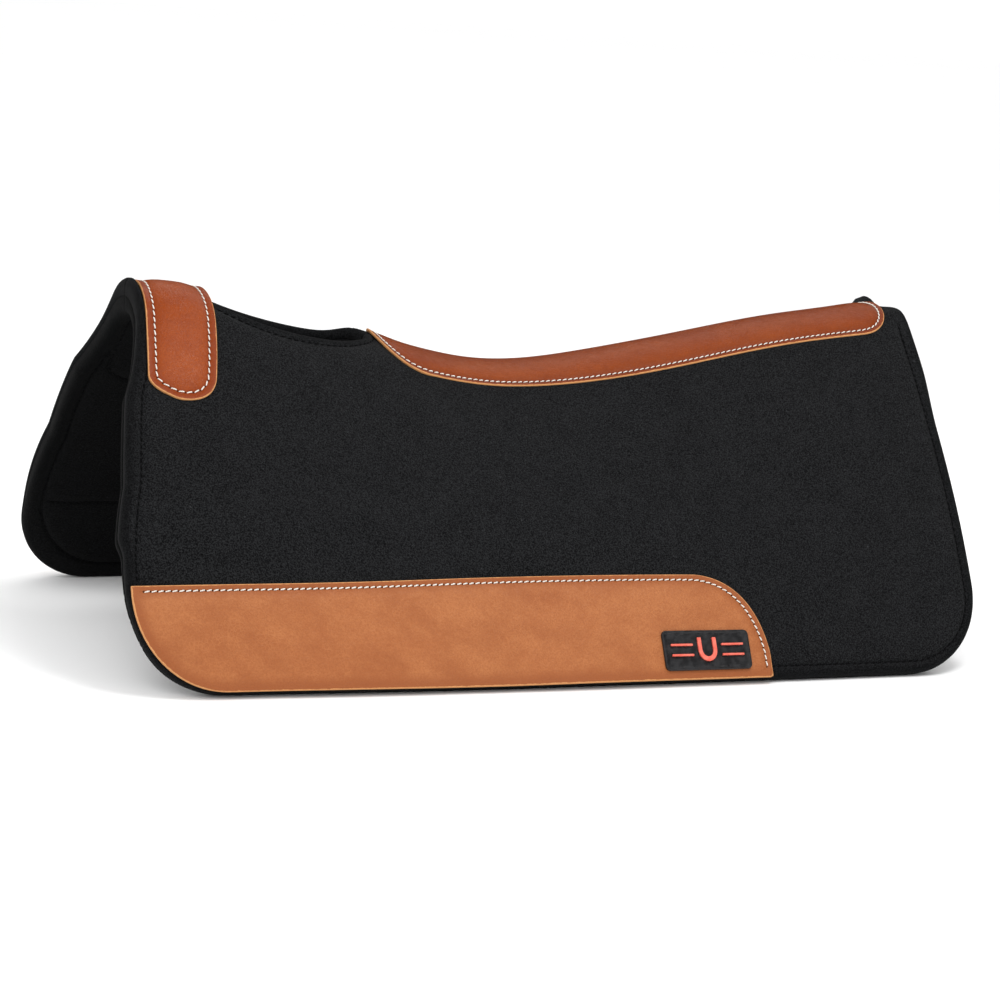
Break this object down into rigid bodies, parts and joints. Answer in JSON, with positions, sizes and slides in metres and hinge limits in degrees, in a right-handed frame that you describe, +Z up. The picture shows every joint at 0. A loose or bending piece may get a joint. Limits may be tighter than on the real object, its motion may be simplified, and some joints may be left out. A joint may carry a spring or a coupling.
{
  "type": "contoured western saddle pad",
  "caption": "Contoured felt saddle pad with a leather withers strap, spine strip and wear leathers; it cushions a saddle and folds along its spine.",
  "frame": {"origin": "middle of the bottom of the bounding box, between the two lower edges the pad stands on", "axes": "+Z up; X along the spine with the withers at -X and the tail end at +X; the near side (horse's left) at -Y"},
  "size_m": [0.8, 0.497, 0.3197],
  "materials": {
    "felt_black": "dense black pressed wool felt, matte",
    "core_fill": "grey needled filler, hidden",
    "wear_leather": "tan chap leather, semi-matte",
    "strap_leather": "oiled tan leather, semi-gloss",
    "strip_leather": "oiled tan leather, darker, semi-gloss",
    "pale_thread": "waxed off-white thread",
    "black_thread": "black thread",
    "badge_rubber": "moulded black rubber with fine ribs",
    "emblem_rubber": "moulded coral rubber"
  },
  "bodies": {
    "left_half": {"upper_felt_left": "felt_black", "core_left": "core_fill", "lower_felt_left": "felt_black", "wear_leather_left": "wear_leather", "badge_left": "badge_rubber", "emblem_left": "emblem_rubber", "wear_thread_left": "pale_thread", "front_seam_thread_left": "black_thread", "rear_seam_thread_left": "black_thread", "vent_thread_left": "black_thread", "withers_strap": "strap_leather", "spine_strip": "strip_leather", "strap_thread": "pale_thread", "strip_thread": "pale_thread"},
    "right_half": {"upper_felt_right": "felt_black", "core_right": "core_fill", "lower_felt_right": "felt_black", "wear_leather_right": "wear_leather", "badge_right": "badge_rubber", "emblem_right": "emblem_rubber", "wear_thread_right": "pale_thread", "front_seam_thread_right": "black_thread", "rear_seam_thread_right": "black_thread", "vent_thread_right": "black_thread"}
  },
  "joints": [
    {"name": "spine_fold", "type": "hinge", "parent": "left_half", "child": "right_half", "pos_m": [0, 0, 0.2241], "axis": [-1, 0, 0], "range_deg": [0, 40], "deforming": ["withers_strap", "spine_strip", "strap_thread", "strip_thread"]}
  ]
}
